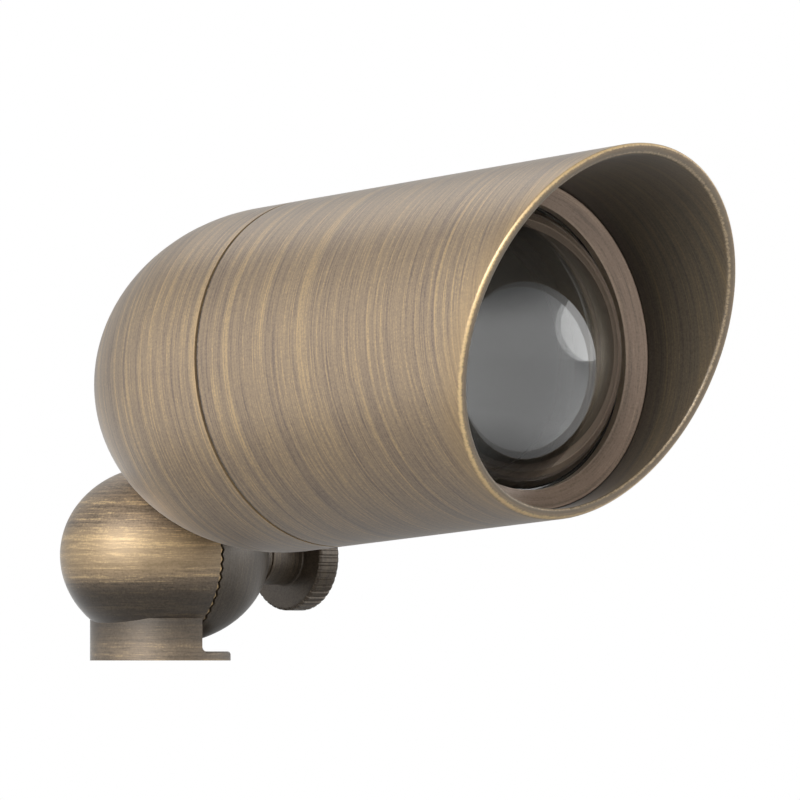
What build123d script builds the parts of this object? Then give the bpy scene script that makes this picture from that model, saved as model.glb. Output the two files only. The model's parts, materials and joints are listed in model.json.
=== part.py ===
from build123d import *
import os
from math import cos, pi, radians, sin, sqrt

# Landscape spotlight in millimetres. The origin is the middle of the base face, +Z is up,
# the barrel points to -Y and the thumbscrew sticks out to +X.

# Barrel
barrel_diameter = 63.5
dome_length = 40.0
straight_wall = 10.5
underside_drop = 2.45
seam_reach = 48.3
seam_gap = 0.5
rest_tilt = 4.2

# Rear housing
bore_floor_reach = 21.5
spigot_step = 3.55
spigot_wall = 2.2
spigot_length = 14.0
pocket_clearance = 0.6
seat_clearance = 0.1

# Shroud
shroud_top_length = 87.0
shroud_bottom_length = 57.4
mouth_wall = 1.9
mouth_round = 0.6
fit_clearance = 0.05
seal_section = 1.8
seal_reach = 7.0
shoulder_ledge = 2.2
shoulder_thickness = 2.8

# Lens and its ring
ring_setback = 3.6
ring_depth = 3.6
ring_edge = 1.5
ring_width = 3.85
lens_wall = 4.35
lens_flange = 3.0
lens_crown = 14.0
lens_glass = 3.5
lens_clearance = 0.1
lens_ring_gap = 0.3
gasket_thickness = 1.2

# Knuckle
hinge_height = 19.6
lobe_radius = 16.75
lower_lobe_reach = 20.0
upper_lobe_reach = 22.75
split_offset = 0.7
tooth_count = 60
tooth_height = 0.45
tooth_gap = 0.12
neck_diameter = 26.2
neck_overlap = 4.95
neck_flat = 1.0
neck_corner = 0.9
lip_thickness = 1.7
lip_round = 0.6
chamber_diameter = 24.6
chamber_depth = 4.0
hub_diameter = 11.0
knuckle_seal_section = 1.6
knuckle_seal_diameter = 27.2

# Base fixing
base_hole_diameter = 9.0
base_hole_depth = 9.0
base_hole_offset = 6.7
wireway_diameter = 6.0

# Thumbscrew
stud_diameter = 6.35
stud_engagement = 9.0
stud_clearance = 0.3
boss_reach = 20.9
washer_diameter = 12.4
washer_thickness = 1.2
lock_washer_diameter = 10.0
lock_washer_thickness = 1.5
lock_washer_slot = 1.0
knob_hub_diameter = 10.6
knob_reach = 31.0
knob_diameter = 20.3
knob_thickness = 5.0
knob_chamfer = 0.7
knurl_count = 44
knurl_depth = 0.4

# Screws
screw_diameter = 3.0
screw_head_diameter = 5.5
screw_head_height = 2.0
screw_grip = 6.0
screw_wall_room = 0.75
knuckle_screw_offsets = [6.5, 12.0]

# Wire passage from the knuckle to the lamp bore
passage_offset = 3.4
passage_rise = 12.6
passage_diameter = 4.4
wire_diameter = 1.8
wire_pitch = 2.2
wire_clearance = 0.05
wire_bend = 3.0
grommet_flange = 5.4
grommet_flange_thickness = 1.0
grommet_length = 5.0

# Lamp holder and its bracket
bracket_width = 10.0
bracket_span = 30.0
bracket_tab = 9.0
bracket_gauge = 1.2
bracket_screw_spread = 14.0
holder_diameter = 22.0
holder_depth = 9.0
holder_screw_spread = 16.5
contact_spread = 5.3
contact_diameter = 3.0
contact_cap = 0.8
contact_room = 0.3

# Lamp
lamp_room = 1.0
lamp_length = 45.0
lamp_base_diameter = 18.0
lamp_collar = 8.0
lamp_rim = 9.0
lamp_wall = 2.4
lamp_setback = 2.0
lamp_groove = 0.8
lamp_groove_count = 5
lamp_gap = 0.2
pin_diameter = 1.5
pin_length = 5.0
board_thickness = 1.6
board_setback = 12.0
optic_thickness = 5.0
optic_lip = 1.5

# Sizes worked out from the ones above
barrel_r = barrel_diameter / 2
axis_rise = barrel_r - underside_drop
mouth_r = barrel_r - mouth_wall
spigot_r = barrel_r - spigot_step
lamp_bore_diameter = 2 * (spigot_r - spigot_wall)
lamp_diameter = lamp_bore_diameter - 2 * lamp_room
lens_diameter = 2 * (barrel_r - lens_wall)
shoulder_opening = lens_diameter - 2 * shoulder_ledge
ring_opening = 2 * (mouth_r - ring_width)
dome_start = seam_reach - straight_wall
shroud_back = seam_reach + seam_gap
rim_top = seam_reach + shroud_top_length
rim_bottom = seam_reach + shroud_bottom_length
ring_front = rim_bottom - ring_setback
ring_back = ring_front - ring_depth
lens_back = ring_back - lens_flange - lens_clearance
shoulder_front = lens_back - gasket_thickness
shoulder_back = shoulder_front - shoulder_thickness
rear_bore_r = spigot_r + 2 * fit_clearance
lens_seat_r = lens_diameter / 2 + 2 * lens_clearance
upper_face = split_offset + tooth_gap
seal_centre_r = spigot_r + fit_clearance + seal_section / 2
lock_start = boss_reach + washer_thickness
hub_start = lock_start + lock_washer_thickness
lamp_face = shoulder_back - lamp_setback
lamp_back = lamp_face - lamp_length
holder_front = lamp_back - lamp_gap
holder_back = holder_front - holder_depth
contact_depth = pin_length - lamp_gap + contact_cap + contact_room

# The barrel frame has its Z along the barrel, its Y up and the hinge axis axis_rise below Z = 0.
BARREL = Pos(0, 0, hinge_height) * Rot(-rest_tilt, 0, 0) * Pos(0, 0, axis_rise) * Rot(90, 0, 0)
HINGE_IN_BARREL = Pos(0, -axis_rise, 0) * Rot(0, 90, 0)
HINGE = Pos(0, 0, hinge_height) * Rot(0, 90, 0)

# Cutting bodies pass what they cut by this factor, and a rounded edge takes at most this share of its wall.
OVERSIZE = 1.5
ROUND_SHARE = 0.4

ON_FLOOR = (Align.CENTER, Align.CENTER, Align.MIN)
SIDES = (-1, 1)


def turned(points):
    """A solid turned about Z from a closed outline of (radius, height) points."""
    outline = Polyline(*[(r, 0, z) for r, z in points], close=True)
    return revolve(make_face(outline), Axis.Z)


def disc(diameter, start, end):
    """A round bar about Z from one height to another."""
    return Pos(0, 0, start) * Cylinder(diameter / 2, end - start, align=ON_FLOOR)


def tube(outer_diameter, inner_diameter, start, end):
    """A straight tube about Z."""
    return disc(outer_diameter, start, end) - disc(inner_diameter, start, end)


def half_ellipsoid(radius, reach, grow=0.0):
    """A half ellipsoid about Z from height 0 up to its tip, grown evenly all round."""
    tip = reach + grow
    side = radius + grow
    arc = EllipticalCenterArc((0, 0), side, tip, start_angle=-90, arc_size=180)
    whole = revolve(Plane.XZ * make_face(Curve() + [arc, Line((0, tip), (0, -tip))]), Axis.Z)
    return whole & disc(2 * OVERSIZE * side, 0, OVERSIZE * tip)


def toothed_block(height, turn):
    """A block under Z = 0 whose top carries radial teeth that rise outwards to their full height."""
    reach = OVERSIZE * lobe_radius
    top = tooth_height * reach / lobe_radius
    step = 180 / tooth_count
    ring = []
    for index in range(2 * tooth_count):
        angle = radians(step * index + turn)
        level = 0 if index % 2 else -top
        ring.append((reach * cos(angle), reach * sin(angle), level))
    low = [(x, y, -height) for x, y, _ in ring]
    faces = [make_face(Polyline(*reversed(low), close=True))]
    for index, here in enumerate(ring):
        after = (index + 1) % len(ring)
        faces.append(make_face(Polyline((0, 0, 0), here, ring[after], close=True)))
        faces.append(make_face(Polyline(here, low[index], low[after], ring[after], close=True)))
    return Solid(Shell(faces))


def wire(points):
    """A round wire along straight runs with rounded corners."""
    path = FilletPolyline(*points, radius=wire_bend)
    return sweep(Plane(path @ 0, z_dir=path % 0) * Circle(wire_diameter / 2), path)


def cap_screw(grip):
    """A cap screw with its head standing on Z = 0 and its shank below."""
    socket = disc(screw_head_diameter / 2, screw_head_height / 2, screw_head_height)
    return disc(screw_head_diameter, 0, screw_head_height) + disc(screw_diameter, -grip, 0) - socket


# Knuckle


def lobe(reach):
    """One half of the knuckle, about Z, wide end at height 0."""
    return half_ellipsoid(lobe_radius, reach)


def neck_side():
    """The side of the neck that is left beside its flat, with the rounded corner at the flat's foot."""
    kept = Pos(-neck_flat, 0, 0) * Box(
        neck_diameter, neck_diameter, 2 * hinge_height, align=(Align.MAX, Align.CENTER, Align.MIN)
    )
    foot = Pos(-neck_flat, 0, 0) * Box(
        neck_corner, neck_diameter, lip_thickness + neck_corner, align=(Align.MIN, Align.CENTER, Align.MIN)
    )
    corner = Pos(neck_corner - neck_flat, 0, lip_thickness + neck_corner) * Rot(90, 0, 0)
    return kept + (foot - corner * Cylinder(neck_corner, OVERSIZE * neck_diameter))


def lower_knuckle():
    """The turned base: neck, lip, lower lobe, toothed face and wireway."""
    ball = Rot(180, 0, 0) * lobe(lower_lobe_reach) + disc(2 * lobe_radius, 0, split_offset)
    teeth = Pos(0, 0, split_offset) * toothed_block(2 * lower_lobe_reach, 0)
    ball = HINGE * (ball & teeth)
    lip = fillet(disc(neck_diameter, 0, lip_thickness).edges().sort_by(Axis.Z)[-1], lip_round)
    column = disc(neck_diameter, lip_thickness / 2, hinge_height - lobe_radius + neck_overlap)
    body = ball + (column & neck_side()) + lip
    open_end = split_offset + tooth_height
    chamber = tube(chamber_diameter, hub_diameter, split_offset - chamber_depth, open_end)
    groove_width = knuckle_seal_section + 2 * fit_clearance
    groove_floor = split_offset - tooth_height - knuckle_seal_section
    groove = tube(
        knuckle_seal_diameter + groove_width, knuckle_seal_diameter - groove_width,
        groove_floor, open_end,
    )
    tap_end = split_offset - stud_engagement - tooth_height
    tapped = disc(stud_diameter + 2 * fit_clearance, tap_end, split_offset)
    body -= HINGE * (chamber + groove + tapped)
    wireway_top = hinge_height - hub_diameter / 2
    way = disc(base_hole_diameter, 0, base_hole_depth) + disc(wireway_diameter, 0, wireway_top)
    elbow = Pos(0, 0, wireway_top - wireway_diameter / 2) * Rot(0, 90, 0)
    way += elbow * disc(wireway_diameter, 0, base_hole_offset)
    return body - Pos(-base_hole_offset, 0, 0) * way


def upper_knuckle():
    """The upper lobe about the hinge axis, its teeth over the lower valleys at the rest tilt."""
    ball = lobe(upper_lobe_reach) & disc(2 * lobe_radius, upper_face, boss_reach)
    turn = 90 - 180 / tooth_count - rest_tilt
    teeth = Pos(0, 0, upper_face) * Rot(180, 0, 0) * toothed_block(2 * upper_lobe_reach, turn)
    ball = ball & teeth
    chamber = tube(chamber_diameter, hub_diameter, 0, upper_face + chamber_depth)
    seal_outside = knuckle_seal_diameter + knuckle_seal_section + 2 * fit_clearance
    seal_room = disc(seal_outside, 0, upper_face + knuckle_seal_section / 2)
    bore = disc(stud_diameter + 2 * stud_clearance, 0, boss_reach)
    return ball - chamber - seal_room - bore


def knuckle_seal():
    """The round seal between the two lobes, inside the ring of teeth."""
    section_r = knuckle_seal_section / 2
    return Pos(0, 0, split_offset - tooth_height - section_r) * Torus(knuckle_seal_diameter / 2, section_r)


# Rear housing


def housing_shell():
    """The bullet-shaped housing about the barrel axis, with its spigot and lamp bore."""
    dome = Pos(0, 0, dome_start) * Rot(180, 0, 0) * half_ellipsoid(barrel_r, dome_length)
    body = dome + disc(barrel_diameter, dome_start, seam_reach)
    body += disc(2 * spigot_r, seam_reach, seam_reach + spigot_length)
    return body - disc(lamp_bore_diameter, bore_floor_reach, seam_reach + spigot_length)


def knuckle_pocket():
    """The scoop in the housing that the knuckle turns and seats in, about the hinge axis."""
    lower = Rot(180, 0, 0) * half_ellipsoid(lobe_radius, lower_lobe_reach, pocket_clearance)
    lower += disc(2 * (lobe_radius + pocket_clearance), 0, split_offset)
    upper = half_ellipsoid(lobe_radius, upper_lobe_reach, seat_clearance)
    return lower + upper


def passage():
    """The bore that takes the wires from the knuckle to the lamp bore, in the barrel frame."""
    return Pos(passage_offset, passage_rise - axis_rise, 0) * disc(passage_diameter, 0, bore_floor_reach)


def knuckle_screw_seats():
    """Places of the two screws that hold the upper knuckle, near the wall on the lamp bore's floor."""
    seat_r = lamp_bore_diameter / 2 - screw_head_diameter / 2 - screw_wall_room
    return [Pos(x, -sqrt(seat_r**2 - x**2), bore_floor_reach) for x in knuckle_screw_offsets]


def knuckle_screw_length(seat):
    """Length of a knuckle screw, from the bore floor through to its grip in the lobe."""
    x, y, _ = seat.position
    section = lobe_radius * sqrt(1 - (x / upper_lobe_reach) ** 2)
    return bore_floor_reach - sqrt(section**2 - (y + axis_rise) ** 2) + screw_grip


def bracket_screw_seats(height):
    """Places of the two bracket screws."""
    return [Pos(side * bracket_screw_spread / 2, 0, height) for side in SIDES]


def screw_holes(seats, lengths):
    """Clearance holes below a set of screw places."""
    holes = Part()
    for seat, length in zip(seats, lengths):
        holes += seat * disc(screw_diameter + 2 * fit_clearance, -length - fit_clearance, 0)
    return holes


knuckle_seats = knuckle_screw_seats()
knuckle_grips = [knuckle_screw_length(seat) for seat in knuckle_seats]
bracket_seats = bracket_screw_seats(bore_floor_reach)
bracket_grips = [screw_grip for _ in SIDES]


def rear_housing():
    """The housing with its pocket, wire passage and screw holes, in the barrel frame."""
    body = housing_shell() - HINGE_IN_BARREL * knuckle_pocket() - passage()
    body -= screw_holes(knuckle_seats, knuckle_grips)
    return body - screw_holes(bracket_seats, bracket_grips)


def seated_upper_knuckle():
    """The upper knuckle in the barrel frame, with its wire passage and screw holes."""
    body = HINGE_IN_BARREL * upper_knuckle()
    return body - passage() - screw_holes(knuckle_seats, knuckle_grips)


# Shroud, ring and lens


def front_shroud():
    """The barrel tube with its slanted mouth, lens seat, rear bore and seal groove."""
    outer = disc(barrel_diameter, shroud_back, rim_top)
    inner = disc(2 * rear_bore_r, shroud_back, shoulder_back)
    inner += disc(shoulder_opening, shoulder_back, shoulder_front)
    inner += disc(2 * lens_seat_r, shoulder_front, ring_back)
    inner += disc(2 * mouth_r, ring_back, rim_top)
    groove_width = seal_section + 2 * fit_clearance
    groove_r = seal_centre_r + seal_section / 2 + fit_clearance
    groove_start = seam_reach + seal_reach - groove_width / 2
    inner += disc(2 * groove_r, groove_start, groove_start + groove_width)
    body = outer - inner
    side = [
        (-barrel_diameter, shroud_back), (-barrel_diameter, slant(-barrel_diameter)),
        (barrel_diameter, slant(barrel_diameter)), (barrel_diameter, shroud_back),
    ]
    keep = make_face(Polyline(*[(0, y, z) for y, z in side], close=True))
    body = body & extrude(keep, barrel_diameter, both=True)
    rim = body.faces().sort_by(Axis.Z)[-1]
    return fillet(rim.edges(), min(mouth_round, ROUND_SHARE * mouth_wall))


def slant(height):
    """Reach of the slanted mouth at a height above the barrel axis."""
    return (rim_top + rim_bottom) / 2 + (rim_top - rim_bottom) * height / barrel_diameter


def lens_ring():
    """The tapered ring that holds the lens from the front."""
    outer = mouth_r - lens_clearance
    inner = ring_opening / 2
    edge = ring_back + ring_edge
    return turned([(inner, ring_back), (outer, ring_back), (outer, ring_front), (inner, edge)])


def glass_lens():
    """The domed glass of even thickness, with a flat flange round it."""
    edge_r = ring_opening / 2 - lens_ring_gap
    front = lens_back + lens_flange
    dome_r = (edge_r**2 + lens_crown**2) / (2 * lens_crown)
    centre = Pos(0, 0, front + lens_crown - dome_r)
    cap = centre * Sphere(dome_r) & disc(2 * edge_r, front, front + lens_crown)
    hollow = centre * Sphere(dome_r - lens_glass) & disc(2 * edge_r, lens_back, front + lens_crown)
    return disc(lens_diameter, lens_back, front) + cap - hollow


def lens_gasket():
    """The flat seal behind the lens."""
    return tube(lens_diameter, shoulder_opening, shoulder_front, lens_back)


def housing_o_ring():
    """The seal that lets the shroud pull off and turn."""
    return Pos(0, 0, seam_reach + seal_reach) * Torus(seal_centre_r, seal_section / 2)


# Thumbscrew, about the hinge axis


def thumb_knob():
    """The knurled knob with its plain hub."""
    knob_end = knob_reach + knob_thickness
    ring = []
    for index in range(2 * knurl_count):
        radius = knob_diameter / 2 - (knurl_depth if index % 2 else 0)
        angle = pi * index / knurl_count
        ring.append((radius * cos(angle), radius * sin(angle)))
    knurl = Pos(0, 0, knob_reach) * extrude(make_face(Polyline(*ring, close=True)), knob_thickness)
    edge = knob_diameter / 2
    soft = turned([
        (0, knob_reach), (edge - knob_chamfer, knob_reach), (edge, knob_reach + knob_chamfer),
        (edge, knob_end - knob_chamfer), (edge - knob_chamfer, knob_end), (0, knob_end),
    ])
    body = (knurl & soft) + disc(knob_hub_diameter, hub_start, knob_reach)
    return body - disc(stud_diameter + 2 * fit_clearance, hub_start, knob_reach + knob_thickness / 2)


def thumb_stud():
    """The threaded shank that draws the two lobes together."""
    return disc(stud_diameter, split_offset - stud_engagement, knob_reach + knob_thickness / 2)


def thumb_washer():
    """The flat washer that stays on the stud and travels with it."""
    return tube(washer_diameter, stud_diameter + 2 * stud_clearance, boss_reach, lock_start)


def lock_washer():
    """The split spring washer under the knob's hub."""
    ring = tube(lock_washer_diameter, stud_diameter + 2 * stud_clearance, lock_start, hub_start)
    slot = Box(lock_washer_diameter, lock_washer_slot, lock_washer_thickness, align=ON_FLOOR)
    return ring - Pos(lock_washer_diameter / 2, 0, lock_start) * slot


# Inside of the housing, in the barrel frame


def knuckle_screws():
    """The two screws that hold the upper knuckle to the housing."""
    return [seat * cap_screw(grip) for seat, grip in zip(knuckle_seats, knuckle_grips)]


def socket_bracket():
    """The bent strip that carries the lamp holder."""
    low = bore_floor_reach
    floor = low + bracket_gauge
    ledge = holder_back - bracket_gauge
    half = bracket_span / 2
    inner = half - bracket_gauge
    tab = half - bracket_tab
    right = [
        (half, low), (half, holder_back), (tab, holder_back),
        (tab, ledge), (inner, ledge), (inner, floor),
    ]
    left = [(-x, z) for x, z in reversed(right)]
    outline = make_face(Polyline(*[(x, 0, z) for x, z in right + left], close=True))
    strip = extrude(outline, bracket_width / 2, both=True)
    strip -= screw_holes(bracket_screw_seats(floor), [bracket_gauge for _ in SIDES])
    return strip - screw_holes(holder_screw_seats(), [holder_screw_grip() for _ in SIDES])


def bracket_screws():
    """The two screws that hold the bracket to the bore floor."""
    seats = bracket_screw_seats(bore_floor_reach + bracket_gauge)
    return [seat * cap_screw(screw_grip) for seat in seats]


def holder_screw_seats():
    """Places of the two screws that hold the lamp holder down on the bracket."""
    height = holder_front - screw_head_height
    return [Pos(side * holder_screw_spread / 2, 0, height) for side in SIDES]


def holder_screw_grip():
    """Length of a holder screw below its head."""
    return holder_depth - screw_head_height + 2 * bracket_gauge


def lamp_holder():
    """The ceramic two-pin holder with its contact wells and screw holes."""
    body = disc(holder_diameter, holder_back, holder_front)
    for seat in holder_screw_seats():
        body -= seat * disc(screw_head_diameter + 2 * fit_clearance, 0, screw_head_height)
        body -= seat * disc(screw_diameter + 2 * fit_clearance, -holder_depth, 0)
    for side in SIDES:
        well = disc(contact_diameter + 2 * fit_clearance, holder_front - contact_depth, holder_front)
        lead = disc(wire_diameter + 2 * wire_clearance, holder_back, holder_front)
        body -= Pos(0, side * contact_spread / 2, 0) * (well + lead)
    return body


def holder_screws():
    """The two screws through the lamp holder."""
    return [seat * cap_screw(holder_screw_grip()) for seat in holder_screw_seats()]


def holder_contacts():
    """The two spring sleeves that grip the lamp's pins."""
    bottom = holder_front - contact_depth
    sleeve = tube(contact_diameter, pin_diameter + 2 * fit_clearance, bottom, holder_front)
    sleeve += disc(contact_diameter, bottom, bottom + contact_cap)
    return [Pos(0, side * contact_spread / 2, 0) * sleeve for side in SIDES]


def lead_wires():
    """The two wires from the lamp holder through the passage into the knuckle."""
    turn_height = (bore_floor_reach + holder_back) / 2
    wires = []
    for side in SIDES:
        start = (0, side * contact_spread / 2)
        end = (passage_offset + side * wire_pitch / 2, passage_rise - axis_rise)
        wires.append(wire([
            (*start, holder_front - contact_depth), (*start, turn_height + side * wire_diameter),
            (*end, turn_height + side * wire_diameter), (*end, chamber_diameter / 2),
        ]))
    return wires


def wire_grommet():
    """The soft plug that seals the wires in the passage."""
    flange = bore_floor_reach + grommet_flange_thickness
    plug = disc(passage_diameter - 2 * fit_clearance, bore_floor_reach - grommet_length, bore_floor_reach)
    plug += disc(grommet_flange, bore_floor_reach, flange)
    for side in SIDES:
        hole = disc(wire_diameter + 2 * wire_clearance, bore_floor_reach - grommet_length, flange)
        plug -= Pos(side * wire_pitch / 2, 0, 0) * hole
    return Pos(passage_offset, passage_rise - axis_rise, 0) * plug


# Lamp, in the barrel frame


def lamp_body():
    """The cup-shaped finned body of the lamp."""
    base_r = lamp_base_diameter / 2
    rim_r = lamp_diameter / 2
    rim_start = lamp_face - lamp_rim
    body = turned([
        (0, lamp_back), (base_r, lamp_back), (base_r, lamp_back + lamp_collar),
        (rim_r, rim_start), (rim_r, lamp_face), (0, lamp_face),
    ])
    cup_floor = lamp_back + lamp_collar
    body -= turned([
        (0, cup_floor + lamp_wall), (base_r, cup_floor + lamp_wall), (rim_r - lamp_wall, rim_start),
        (rim_r - lamp_wall, lamp_face), (0, lamp_face),
    ])
    step = lamp_rim / (lamp_groove_count + 1)
    for index in range(lamp_groove_count):
        middle = rim_start + step * (index + 1)
        body -= tube(lamp_diameter, lamp_diameter - 2 * lamp_groove, middle - step / 4, middle + step / 4)
    for side in SIDES:
        hole = disc(pin_diameter + 2 * fit_clearance, lamp_back, lamp_back + lamp_collar / 2)
        body -= Pos(0, side * contact_spread / 2, 0) * hole
    return body


def lamp_pins():
    """The two contact pins at the back of the lamp."""
    pin = disc(pin_diameter, lamp_back - pin_length, lamp_back + lamp_collar / 2)
    return [Pos(0, side * contact_spread / 2, 0) * pin for side in SIDES]


def cup_radius(reach):
    """Inner radius of the lamp's cup at a reach along the barrel."""
    low = lamp_back + lamp_collar + lamp_wall
    high = lamp_face - lamp_rim
    share = min((reach - low) / (high - low), 1)
    return lamp_base_diameter / 2 + share * (lamp_diameter / 2 - lamp_wall - lamp_base_diameter / 2)


def lamp_board():
    """The round board with the light source, across the lamp's cup."""
    back = lamp_face - board_setback
    return disc(2 * (cup_radius(back) - fit_clearance), back, back + board_thickness)


def lamp_optic():
    """The moulded front optic that closes the lamp."""
    optic_r = lamp_diameter / 2 - lamp_wall - fit_clearance
    body = disc(2 * optic_r, lamp_face - optic_thickness, lamp_face)
    return body - disc(2 * (optic_r - optic_lip), lamp_face - optic_lip / 2, lamp_face)


def placed(location, made):
    """One part, or a group of parts, moved to its place in the whole object."""
    solids = made if isinstance(made, list) else [made]
    moved = [location * solid for solid in solids]
    return moved[0] if len(moved) == 1 else Compound(children=moved)


nodes = {
    "lower_knuckle": placed(Pos(0, 0, 0), lower_knuckle()),
    "knuckle_seal": placed(HINGE, knuckle_seal()),
    "upper_knuckle": placed(BARREL, seated_upper_knuckle()),
    "rear_housing": placed(BARREL, rear_housing()),
    "knuckle_screws": placed(BARREL, knuckle_screws()),
    "socket_bracket": placed(BARREL, socket_bracket()),
    "bracket_screws": placed(BARREL, bracket_screws()),
    "lamp_holder": placed(BARREL, lamp_holder()),
    "holder_screws": placed(BARREL, holder_screws()),
    "holder_contacts": placed(BARREL, holder_contacts()),
    "lead_wires": placed(BARREL, lead_wires()),
    "wire_grommet": placed(BARREL, wire_grommet()),
    "lamp_body": placed(BARREL, lamp_body()),
    "lamp_pins": placed(BARREL, lamp_pins()),
    "lamp_board": placed(BARREL, lamp_board()),
    "lamp_optic": placed(BARREL, lamp_optic()),
    "housing_o_ring": placed(BARREL, housing_o_ring()),
    "front_shroud": placed(BARREL, front_shroud()),
    "lens_ring": placed(BARREL, lens_ring()),
    "glass_lens": placed(BARREL, glass_lens()),
    "lens_gasket": placed(BARREL, lens_gasket()),
    "thumb_knob": placed(HINGE, thumb_knob()),
    "thumb_stud": placed(HINGE, thumb_stud()),
    "thumb_washer": placed(HINGE, thumb_washer()),
    "lock_washer": placed(HINGE, lock_washer()),
}

os.makedirs("parts", exist_ok=True)
for name, shape in nodes.items():
    shape.label = name
    export_step(shape, f"parts/{name}.step")
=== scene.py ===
"""Looks of a landscape spotlight in brushed antique brass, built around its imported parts.

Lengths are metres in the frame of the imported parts: the base stands on Z = 0, the barrel points to -Y and the
thumbscrew to +X. Inside the materials, points are millimetres in the frame of the piece's own turning axis.
"""

import functools
import json
import logging
import math
from dataclasses import dataclass
from enum import Enum
from typing import Callable, Optional, Sequence, Union

import bmesh
import bpy
import numpy as np
from mathutils import Color, Matrix, Vector


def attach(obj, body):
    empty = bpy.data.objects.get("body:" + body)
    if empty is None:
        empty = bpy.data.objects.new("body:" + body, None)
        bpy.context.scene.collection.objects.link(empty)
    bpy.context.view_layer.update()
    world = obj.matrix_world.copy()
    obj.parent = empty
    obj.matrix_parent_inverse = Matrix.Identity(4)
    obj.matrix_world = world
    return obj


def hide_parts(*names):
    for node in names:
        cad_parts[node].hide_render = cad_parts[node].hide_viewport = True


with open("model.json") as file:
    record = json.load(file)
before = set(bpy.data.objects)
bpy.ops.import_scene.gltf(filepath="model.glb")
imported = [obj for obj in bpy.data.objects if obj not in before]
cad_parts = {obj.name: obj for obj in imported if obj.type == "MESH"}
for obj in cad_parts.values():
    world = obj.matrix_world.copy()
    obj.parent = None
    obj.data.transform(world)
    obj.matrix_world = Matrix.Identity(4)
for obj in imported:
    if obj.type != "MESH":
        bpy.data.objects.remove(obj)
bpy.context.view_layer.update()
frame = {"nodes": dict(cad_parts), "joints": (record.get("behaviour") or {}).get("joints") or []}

MM = 0.001
TOUCH = 0.001 * MM
LOG = logging.getLogger("spotlight")

Colour = tuple[float, float, float, float]
Ramp = tuple[float, float, float, float]
Material = bpy.types.Material
Socket = bpy.types.NodeSocket
Feed = Union[Socket, float, tuple]

WHITE: Colour = (1.0, 1.0, 1.0, 1.0)
SCREEN_MAX = 255


def colour(red: int, green: int, blue: int) -> Colour:
    """A colour in scene-linear values.

    Args:
        red, green, blue: the colour as screen values from 0 to 255.

    Returns:
        The linear colour with an alpha of 1.
    """
    screen = Color((red / SCREEN_MAX, green / SCREEN_MAX, blue / SCREEN_MAX))
    return (*screen.from_srgb_to_scene_linear(), 1.0)


def about(middle: float, spread: float) -> tuple[float, float]:
    """The two ends of a range about its middle."""
    return middle - spread, middle + spread


@dataclass(frozen=True)
class Turned:
    """How far a piece reaches about a turning axis: its two radii, and its two ends along the axis."""

    inner: float
    outer: float
    back: float
    front: float


@dataclass(frozen=True)
class Station:
    """A turning axis of the light: its local Z is the axis, and its origin is a point on it."""

    matrix: Matrix

    def measure(self, node: str, past: float = -math.inf) -> Turned:
        """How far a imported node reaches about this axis.

        Args:
            node: the node's name.
            past: the place along the axis past which it is measured.

        Returns:
            Its radii and its ends.
        """
        inverse = self.matrix.inverted()
        points = np.array([inverse @ vertex.co for vertex in frame["nodes"][node].data.vertices])
        points = points[points[:, 2] > past]
        radius, reach = np.hypot(points[:, 0], points[:, 1]), points[:, 2]
        return Turned(float(radius.min()), float(radius.max()), float(reach.min()), float(reach.max()))


def joint(name: str) -> dict:
    """The record's row of a joint, by its name."""
    return next(row for row in frame["joints"] if row["name"] == name)


def barrel_station() -> Station:
    """The barrel's axis, with local Y up and the reach counted from the hinge.

    Returns:
        The barrel's station.
    """
    row = joint("shroud_turn")
    axis = Vector(row["axis"]).normalized()
    side = Vector((1, 0, 0))
    up = axis.cross(side)
    seat = Vector(row["pos_m"])
    hinge = Vector(joint("head_tilt")["pos_m"])
    origin = seat - axis * (seat - hinge).dot(axis)
    turn = Matrix((side, up, axis)).transposed()
    return Station(Matrix.Translation(origin) @ turn.to_4x4())


def hinge_station() -> Station:
    """The hinge's axis, with the reach counted from the middle of the knuckle towards the knob."""
    turn = Matrix(((0, 1, 0), (0, 0, 1), (1, 0, 0))).transposed()
    return Station(Matrix.Translation(Vector(joint("head_tilt")["pos_m"])) @ turn.to_4x4())


BARREL = barrel_station()
HINGE = hinge_station()
BASE = Station(Matrix.Identity(4))


@dataclass(frozen=True)
class Corner:
    """One corner of a turned outline, with the radius that rounds it."""

    radius: float
    reach: float
    rounding: float = 0.0


ARC_STEPS = 5
POLE_RADIUS = 0.02 * MM
POLE_ROOM = 1.01
FACE_WEIGHT = 100


def rounded(outline: Sequence[Corner], closed: bool) -> list[tuple[float, float]]:
    """The points of a turned outline with its corners rounded.

    Args:
        outline: the corners in order.
        closed: whether the last corner joins the first.

    Returns:
        Pairs of radius and reach.
    """
    points: list[tuple[float, float]] = []
    for index, corner in enumerate(outline):
        here = Vector((corner.radius, corner.reach))
        ends = not closed and index in (0, len(outline) - 1)
        if ends or corner.rounding <= 0:
            points.append(tuple(here))
            continue
        before = outline[index - 1]
        after = outline[(index + 1) % len(outline)]
        back = (Vector((before.radius, before.reach)) - here).normalized()
        ahead = (Vector((after.radius, after.reach)) - here).normalized()
        half = back.angle(ahead) / 2
        middle = here + (back + ahead).normalized() * (corner.rounding / math.sin(half))
        first = here + back * (corner.rounding / math.tan(half)) - middle
        last = here + ahead * (corner.rounding / math.tan(half)) - middle
        for step in range(ARC_STEPS + 1):
            ray = first.slerp(last, step / ARC_STEPS, first)
            points.append(tuple(middle + ray * corner.rounding))
    return points


def arc(centre: float, radius: float, start: float, end: float, steps: int) -> list[Corner]:
    """Corners along a circle whose centre is on the axis.

    Args:
        centre: the reach of the centre.
        radius: the circle's radius.
        start, end: angles from the axis, in radians.
        steps: the number of equal steps.

    Returns:
        The corners from start to end.
    """
    angles = [start + (end - start) * step / steps for step in range(steps + 1)]
    return [Corner(max(POLE_RADIUS, radius * math.sin(a)), centre + radius * math.cos(a)) for a in angles]


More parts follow.
